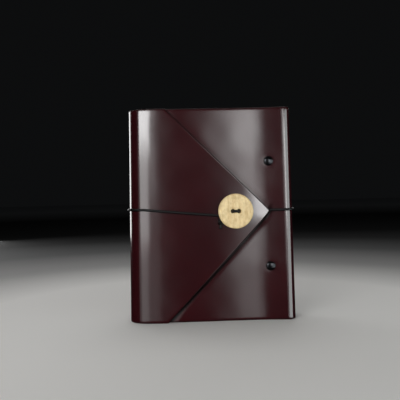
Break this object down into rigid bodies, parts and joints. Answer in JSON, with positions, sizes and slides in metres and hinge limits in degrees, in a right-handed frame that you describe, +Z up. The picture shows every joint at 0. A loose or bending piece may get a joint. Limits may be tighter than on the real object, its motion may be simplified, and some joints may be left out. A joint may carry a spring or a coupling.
{
  "type": "leather notebook cover",
  "caption": "Pocket loose-leaf notebook cover in smooth leather, with a wrap-round pointed flap, wooden button, elastic closure and screw-post binding.",
  "frame": {"origin": "centre of the bounding box's footprint, on the surface that the closed notebook stands on", "axes": "+Z up along the cover's height, parallel to the spine; +Y from the front (flap and button) to the back cover; +X from the fore edge to the spine"},
  "size_m": [0.1292, 0.0408, 0.162],
  "materials": {
    "smooth_leather": "semi-gloss",
    "paper": "uncoated",
    "button_wood": "satin",
    "gunmetal": "satin",
    "elastic_cord": "braided"
  },
  "bodies": {
    "binding": {"back_cover": "smooth_leather", "spine": "smooth_leather", "front_hinge_strip": "smooth_leather", "clamped_page_margins": "paper", "rear_leaves": "paper", "upper_post": "gunmetal", "lower_post": "gunmetal", "elastic_on_back": "elastic_cord"},
    "fore_edge": {"fore_edge_wrap": "smooth_leather", "elastic_on_fore_edge": "elastic_cord"},
    "flap": {"closing_flap": "smooth_leather", "elastic_on_flap": "elastic_cord", "elastic_end_knot": "elastic_cord"},
    "button": {"wooden_button": "button_wood", "button_stitch_cord": "elastic_cord"},
    "front": {"front_cover": "smooth_leather", "elastic_eye_end": "elastic_cord"},
    "front_leaf_bundle": {"front_leaves": "paper"},
    "middle_leaf_bundle": {"middle_leaves": "paper"},
    "inner_leaf_bundle": {"inner_leaves": "paper"},
    "upper_screw_body": {"upper_screw": "gunmetal"},
    "lower_screw_body": {"lower_screw": "gunmetal"}
  },
  "joints": [
    {"name": "fore_edge_hinge", "type": "hinge", "parent": "binding", "child": "fore_edge", "pos_m": [-0.05899, 0.01473, 0.081], "axis": [0, 0, -1], "range_deg": [0, 150]},
    {"name": "flap_hinge", "type": "hinge", "parent": "fore_edge", "child": "flap", "pos_m": [-0.05899, -0.00823, 0.081], "axis": [0, 0, -1], "range_deg": [0, 90]},
    {"name": "front_cover_hinge", "type": "hinge", "parent": "binding", "child": "front", "pos_m": [0.036, -0.00745, 0.081], "axis": [0, 0, 1], "range_deg": [0, 78]},
    {"name": "front_leaves_hinge", "type": "hinge", "parent": "binding", "child": "front_leaf_bundle", "pos_m": [0.0345, -0.00505, 0.081], "axis": [0, 0, 1], "range_deg": [0, 49.5]},
    {"name": "middle_leaves_hinge", "type": "hinge", "parent": "binding", "child": "middle_leaf_bundle", "pos_m": [0.0345, -0.00275, 0.081], "axis": [0, 0, 1], "range_deg": [0, 28.5]},
    {"name": "inner_leaves_hinge", "type": "hinge", "parent": "binding", "child": "inner_leaf_bundle", "pos_m": [0.0345, 0.00065, 0.081], "axis": [0, 0, 1], "range_deg": [0, 12]},
    {"name": "button_swivel", "type": "hinge", "parent": "flap", "child": "button", "pos_m": [0.0184, -0.01625, 0.0835], "axis": [0, 1, 0], "range_deg": [-30, 30]},
    {"name": "upper_screw_turn", "type": "hinge", "parent": "binding", "child": "upper_screw_body", "pos_m": [0.0447, -0.00875, 0.121], "axis": [0, 1, 0], "range_deg": [0, 360]},
    {"name": "lower_screw_turn", "type": "hinge", "parent": "binding", "child": "lower_screw_body", "pos_m": [0.0447, -0.00875, 0.041], "axis": [0, 1, 0], "range_deg": [0, 360]}
  ],
  "couplings": [
    {"joint": "flap_hinge", "follows": "fore_edge_hinge", "ratio": 0.6},
    {"joint": "front_cover_hinge", "follows": "fore_edge_hinge", "ratio": 0.52},
    {"joint": "front_leaves_hinge", "follows": "fore_edge_hinge", "ratio": 0.33},
    {"joint": "middle_leaves_hinge", "follows": "fore_edge_hinge", "ratio": 0.19},
    {"joint": "inner_leaves_hinge", "follows": "fore_edge_hinge", "ratio": 0.08}
  ]
}
